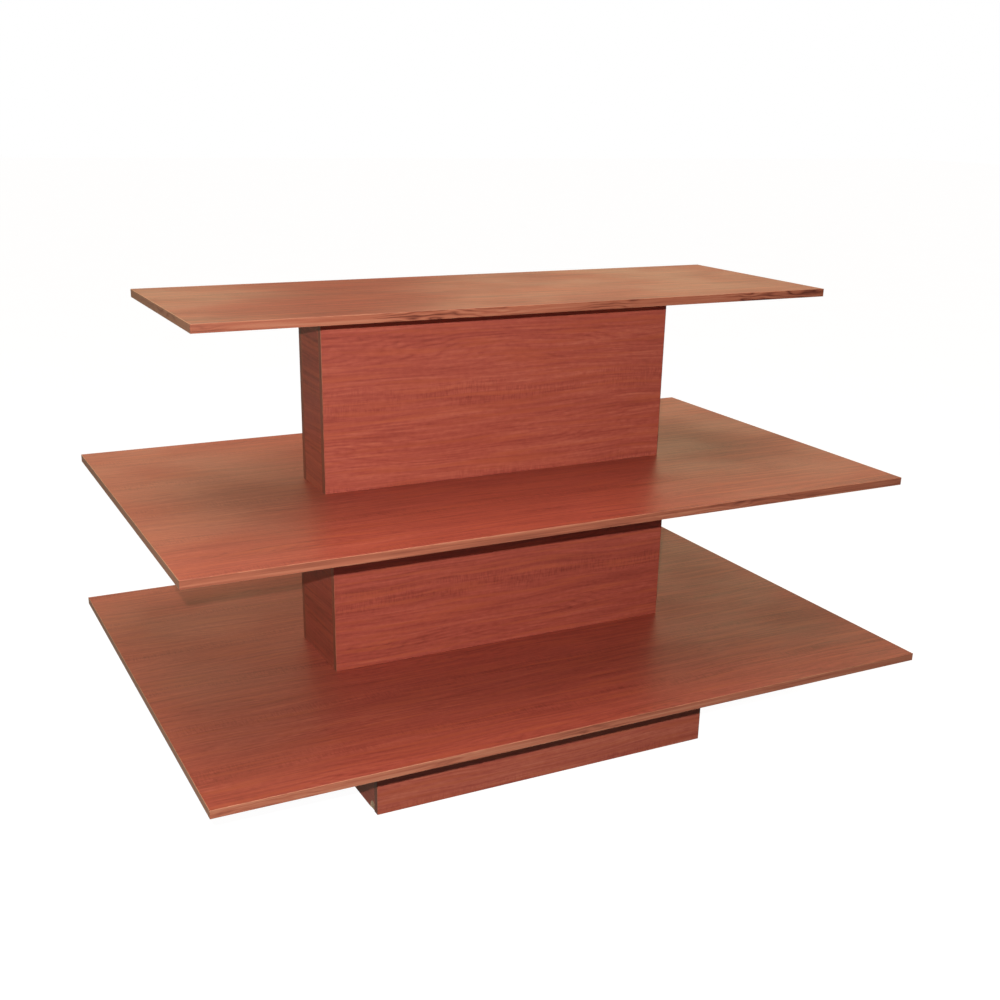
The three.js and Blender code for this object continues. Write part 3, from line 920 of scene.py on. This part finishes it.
class TABLE_OT_cams(bpy.types.Operator):
    """Die-cast cams in the long panels' inner faces, modelled once and copied"""
    bl_idname = "display_table.cams"
    bl_label = "Cams"

    def execute(self, context):
        sizes = context.scene.table_fittings
        model = self.model(sizes)
        for box in STANDS_ON.values():
            for side, end in CORNERS:
                bolt = f"{box}_cam_bolt_{side}_{end}"
                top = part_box(f"{box}_{side}_panel")[1].z
                place = Vector((middle(bolt).x, inner_face(box, side), top - sizes.cam_setback))
                node = f"{box}_cam_{side}_{end}"
                piece = copy_to(model, f"{node}_casting", place, FACING[side])
                give(piece, "zinc_cam", die_cast_zinc)
                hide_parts(node)
        remove(model)
        return {'FINISHED'}

    def model(self, sizes):
        """Cam with its face at y = 0, its body towards -Y and its jaw open upwards round the bolt's neck."""
        radius = sizes.cam / 2 - sizes.fit_gap
        back = sizes.fit_gap - sizes.cam_depth
        chamfer = sizes.cam_chamfer
        cam = turned("cam", [
            (radius - chamfer, back), (radius, back + chamfer), (radius, -chamfer),
            (radius - chamfer, 0)], sides=48)
        past = sizes.overrun
        pocket = sizes.bolt_head / 2 + sizes.loose_gap
        combine(cam, turned("pocket", [(pocket, back - past), (pocket, -sizes.cam_jaw)]))
        slot = sizes.bolt_neck / 2 + sizes.loose_gap
        low = Vector((-slot, -radius - past, back - past))
        combine(cam, block("slot", low, Vector((slot, 0, -sizes.cam_jaw))))
        arm = sizes.cross_length / 2
        half = sizes.cross_width / 2
        for along, across in ((arm, half), (half, arm)):
            low = Vector((-along, -across, -sizes.cross_depth))
            combine(cam, block("cross", low, Vector((along, across, past))))
        bare_start()
        bpy.ops.mesh.primitive_cylinder_add(
            vertices=3, radius=sizes.arrow, depth=sizes.arrow, location=(0, -arm - sizes.arrow, 0),
            rotation=(0, 0, math.pi))
        combine(cam, settle("arrow"))
        smooth_rounds(cam)
        return lay_along_y(cam)


class TABLE_OT_bolts(bpy.types.Operator):
    """Threaded bolts that the cams pull down, modelled once and copied"""
    bl_idname = "display_table.bolts"
    bl_label = "Cam Bolts"

    def execute(self, context):
        drive(self.model(context.scene.table_fittings), "cam_bolt", STANDS_ON)
        return {'FINISHED'}

    def model(self, sizes):
        """Bolt from the shelf's underside at z = 0: thread up into the shelf, head down in the cam."""
        chamfer = sizes.chamfer
        head = sizes.bolt_head / 2
        neck = sizes.bolt_neck / 2
        shank = sizes.bolt_shank / 2
        collar = sizes.bolt_collar / 2
        core = sizes.bolt_core / 2
        head_low = -sizes.cam_setback - sizes.bolt_head_length / 2
        neck_low = head_low + sizes.bolt_head_length
        neck_high = neck_low + sizes.bolt_neck_length
        bolt = turned("bolt", [
            (head - chamfer, head_low), (head, head_low + chamfer), (head, neck_low - chamfer),
            (neck, neck_low), (neck, neck_high), (shank, neck_high + chamfer),
            (shank, -sizes.bolt_collar_length), (collar, -sizes.bolt_collar_length), (collar, 0), (core, 0),
            (core, sizes.bolt_bite - chamfer), (core - chamfer, sizes.bolt_bite)])
        ridge = thread_ridge(
            sizes.bolt_core, sizes.bolt_thread, sizes.bolt_pitch, chamfer, sizes.bolt_bite - chamfer)
        combine(bolt, ridge, 'UNION')
        smooth_rounds(bolt)
        return bolt


class TABLE_OT_screws(bpy.types.Operator):
    """Countersunk screws up through the shelves into the risers' panels, modelled once and copied"""
    bl_idname = "display_table.screws"
    bl_label = "Screws"

    def execute(self, context):
        drive(self.model(context.scene.table_fittings, board_thickness()), "screw", CARRIES)
        return {'FINISHED'}

    def model(self, sizes, shelf):
        """Screw that points up from a shelf's underside at z = 0, its head below the face."""
        head = sizes.screw_head / 2
        shank = sizes.screw_shank / 2
        core = sizes.screw_core / 2
        cone_top = sizes.screw_sink + sizes.screw_cone
        tip = shelf + sizes.screw_bite
        screw = turned("screw", [
            (head, sizes.screw_sink), (shank, cone_top), (shank, shelf - sizes.chamfer), (core, shelf),
            (core, tip - sizes.screw_tip), (core / 4, tip)])
        depth = sizes.socket_depth + sizes.overrun
        bare_start()
        bpy.ops.mesh.primitive_cylinder_add(
            vertices=6, radius=sizes.socket / 2 / math.cos(math.pi / 6), depth=depth,
            location=(0, 0, sizes.screw_sink + sizes.socket_depth - depth / 2))
        combine(screw, settle("socket"))
        ridge = thread_ridge(
            sizes.screw_core, sizes.screw_thread, sizes.screw_pitch, shelf + sizes.chamfer,
            tip - sizes.screw_tip)
        combine(screw, ridge, 'UNION')
        smooth_rounds(screw)
        return screw


class TABLE_OT_stage(bpy.types.Operator):
    """Pale paper floor, lamp near the lens, overhead box, warm low surround and the camera"""
    bl_idname = "display_table.stage"
    bl_label = "Stage"

    # Sines of the angles above the horizon at which the screens' light changes
    wall_heights = (0.12, 0.38, 0.85)
    # Cosines of the angles from the view between which the screens end
    wall_ends = (0.2, 0.6)
    # Sines of the angles from the gap's middle between which the screens begin, and the light in the gap
    gap_edges = (0.02, 0.1)
    gap_light = 0.25

    def execute(self, context):
        settings = context.scene.table_stage
        bare_start()
        bpy.ops.mesh.primitive_plane_add(size=settings.floor_size)
        floor = context.object
        floor.name = "paper_floor"
        floor.data.materials.append(finish(seamless_paper))
        self.camera(context, settings)
        self.lamps(context, settings)
        self.surround(context, settings)
        context.scene.view_settings.view_transform = 'Standard'
        return {'FINISHED'}

    def camera(self, context, settings):
        bpy.ops.object.camera_add()
        camera = context.object
        camera.matrix_world = (
            Matrix.Translation(settings.camera_place)
            @ Matrix.Rotation(-settings.camera_yaw, 4, 'Z')
            @ Matrix.Rotation(math.pi / 2 - settings.camera_pitch, 4, 'X')
            @ Matrix.Rotation(settings.camera_roll, 4, 'Z'))
        camera.data.lens = settings.lens
        camera.data.shift_x = settings.shift_x
        camera.data.shift_y = settings.shift_y
        context.scene.camera = camera

    def lamps(self, context, settings):
        aim = (CAD_BOX[0] + CAD_BOX[1]) / 2
        place = Vector(settings.camera_place) + Vector(settings.lamp_offset)
        bpy.ops.object.light_add(
            type='AREA', location=place, rotation=(aim - place).to_track_quat('-Z', 'Y').to_euler())
        key = context.object.data
        key.shape = 'DISK'
        key.size = settings.lamp_size
        key.energy = settings.lamp_power
        bpy.ops.object.light_add(type='AREA', location=(0, 0, settings.fill_height))
        overhead = context.object.data
        overhead.shape = 'DISK'
        overhead.size = settings.fill_size
        overhead.energy = settings.fill_power
        overhead.color = settings.fill

    def surround(self, context, settings):
        """Warm screens ahead, dimmer as they rise, with a dim gap, and plain white behind the table."""
        world = bpy.data.worlds.new("warm_surround")
        context.scene.world = world
        world.use_nodes = True
        world.node_tree.nodes.clear()
        add = partial(add_node, world.node_tree)
        way = add("TexCoord", out="Generated")
        height = add("SeparateXYZ", [way], out="Z")
        screens = add("ValToRGB", [height], stops=zip(
            self.wall_heights, (settings.wall_low, settings.wall_high, settings.dusk)))
        yaw = settings.camera_yaw
        view_way = (math.sin(yaw), math.cos(yaw), 0)
        ahead = add("VectorMath", [way, view_way], 'DOT_PRODUCT', out="Value")
        gap_yaw = yaw - settings.wall_gap
        across_gap = (math.cos(gap_yaw), -math.sin(gap_yaw), 0)
        beside = add("VectorMath", [way, across_gap], 'DOT_PRODUCT', out="Value")
        off_gap = add("Math", [beside], 'ABSOLUTE')
        open_gap = add("MapRange", [off_gap, *self.gap_edges, self.gap_light, 1.0], **SMOOTH)
        lit = add("MapRange", [ahead, *self.wall_ends], **SMOOTH)
        lit = add("Math", [lit, open_gap], 'MULTIPLY')
        colour = add("Mix", {0: lit, 6: (*settings.dusk, 1), 7: screens}, out=2, data_type='RGBA')
        room = add("Background", [colour, settings.wall_strength])
        white = add("Background", [(1, 1, 1, 1), settings.backdrop])
        both = add("MixShader", [add("LightPath", out="Is Camera Ray"), room, white])
        add("OutputWorld", [both])


class TABLE_PT_sidebar(bpy.types.Panel):
    """The table's pieces in the order that they are made"""
    bl_idname = "TABLE_PT_sidebar"
    bl_label = "Display Table"
    bl_space_type = 'VIEW_3D'
    bl_region_type = 'UI'
    bl_category = "Display Table"

    def draw(self, context):
        for operator in OPERATORS:
            self.layout.operator(operator.bl_idname)


SETTINGS = {
    "table_boards": BoardSettings, "table_fittings": FittingSettings, "table_finish": FinishSettings,
    "table_stage": StageSettings}
OPERATORS = (
    TABLE_OT_shelf_boards, TABLE_OT_shelf_bands, TABLE_OT_long_panels, TABLE_OT_end_panels, TABLE_OT_cams,
    TABLE_OT_bolts, TABLE_OT_screws, TABLE_OT_stage)
CLASSES = (*SETTINGS.values(), *OPERATORS, TABLE_PT_sidebar)


def register():
    for group in CLASSES:
        bpy.utils.register_class(group)
    for name, group in SETTINGS.items():
        setattr(bpy.types.Scene, name, PointerProperty(type=group))


def unregister():
    for name in SETTINGS:
        delattr(bpy.types.Scene, name)
    for group in reversed(CLASSES):
        bpy.utils.unregister_class(group)


def main():
    register()
    bpy.ops.display_table.shelf_boards()
    bpy.ops.display_table.shelf_bands()
    bpy.ops.display_table.long_panels()
    bpy.ops.display_table.end_panels()
    bpy.ops.display_table.cams()
    bpy.ops.display_table.bolts()
    bpy.ops.display_table.screws()
    bpy.ops.display_table.stage()


if __name__ == "__main__":
    main()
